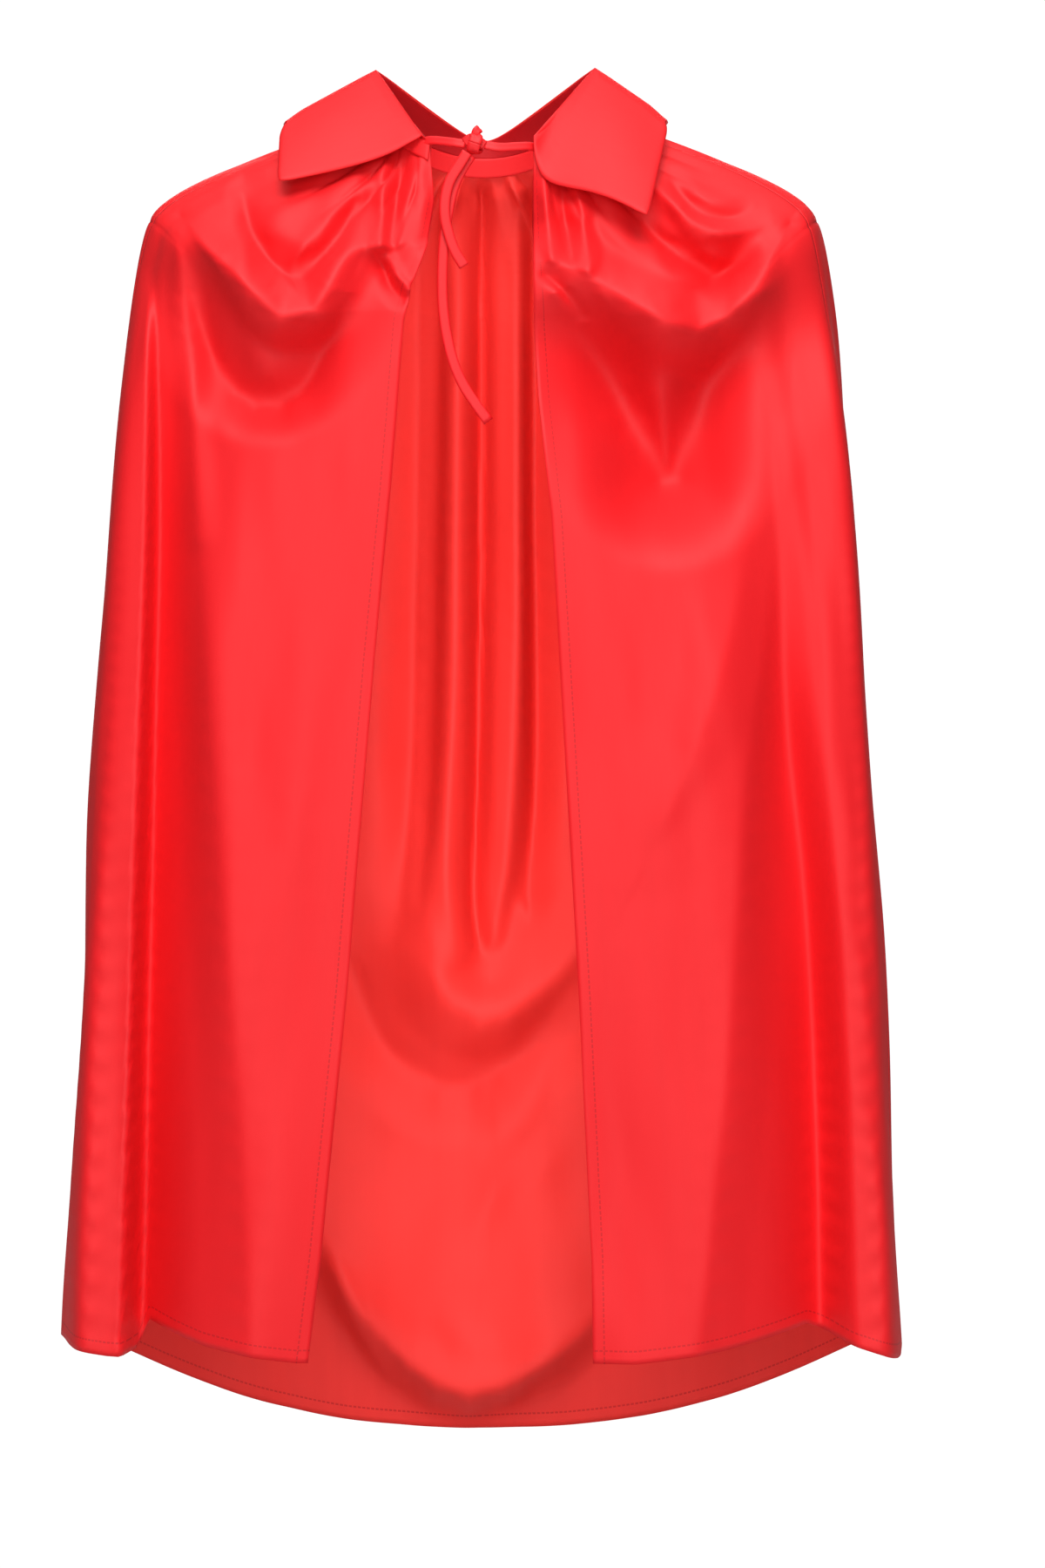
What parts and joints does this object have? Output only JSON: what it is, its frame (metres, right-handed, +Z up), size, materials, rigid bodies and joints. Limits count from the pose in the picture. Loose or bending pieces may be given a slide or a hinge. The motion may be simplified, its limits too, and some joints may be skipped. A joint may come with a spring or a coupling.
{
  "type": "superhero cape",
  "caption": "Waist-to-thigh length satin costume cape, gathered into a neckband, open down the front, with a pointed turned-down collar and knotted ties.",
  "frame": {"origin": "middle of the neck opening, level with the top of the neckband at the throat and nape", "axes": "+Z up along the hanging cloth, -Y out of the open front, +X to the left-hand side of a wearer facing -Y"},
  "size_m": [0.5672, 0.2506, 0.9331],
  "materials": {
    "satin": "satin weave, right side, soft lustre",
    "facing": "satin weave, wrong side, duller",
    "interfacing": "stiff non-woven",
    "tie": "folded satin strip, edge-stitched"
  },
  "bodies": {
    "root": {"back_panel": "satin", "left_shoulder": "satin", "right_shoulder": "satin", "left_side": "satin", "right_side": "satin", "neckband": "satin", "neckband_facing": "facing", "collar_stand": "facing", "back_upper_collar": "satin", "back_collar_interfacing": "interfacing", "back_under_collar": "facing", "left_tie": "tie", "right_tie": "tie", "tie_knot": "tie"},
    "left_front": {"left_front": "satin"},
    "right_front": {"right_front": "satin"},
    "left_collar": {"left_upper_collar": "satin", "left_collar_interfacing": "interfacing", "left_under_collar": "facing"},
    "right_collar": {"right_upper_collar": "satin", "right_collar_interfacing": "interfacing", "right_under_collar": "facing"},
    "tie_tails": {"short_tie_tail": "tie", "long_tie_tail": "tie"}
  },
  "joints": [
    {"name": "left_front_open", "type": "hinge", "parent": "root", "child": "left_front", "pos_m": [-0.0619, -0.1126, -0.115], "axis": [-0.2332, 0, -0.9724], "range_deg": [0, 150]},
    {"name": "right_front_open", "type": "hinge", "parent": "root", "child": "right_front", "pos_m": [0.0469, -0.114, -0.1157], "axis": [-0.24, 0, 0.9708], "range_deg": [0, 150]},
    {"name": "left_collar_lift", "type": "hinge", "parent": "root", "child": "left_collar", "pos_m": [-0.04, -0.064, 0.006], "axis": [-0.3594, 0.7187, 0.5952], "range_deg": [0, 60]},
    {"name": "right_collar_lift", "type": "hinge", "parent": "root", "child": "right_collar", "pos_m": [0.034, -0.067, 0.005], "axis": [-0.4302, -0.7029, -0.5665], "range_deg": [0, 60]},
    {"name": "tie_tails_swing", "type": "hinge", "parent": "root", "child": "tie_tails", "pos_m": [-0.005, -0.072, -0.001], "axis": [-1, 0, 0], "range_deg": [0, 80]}
  ]
}
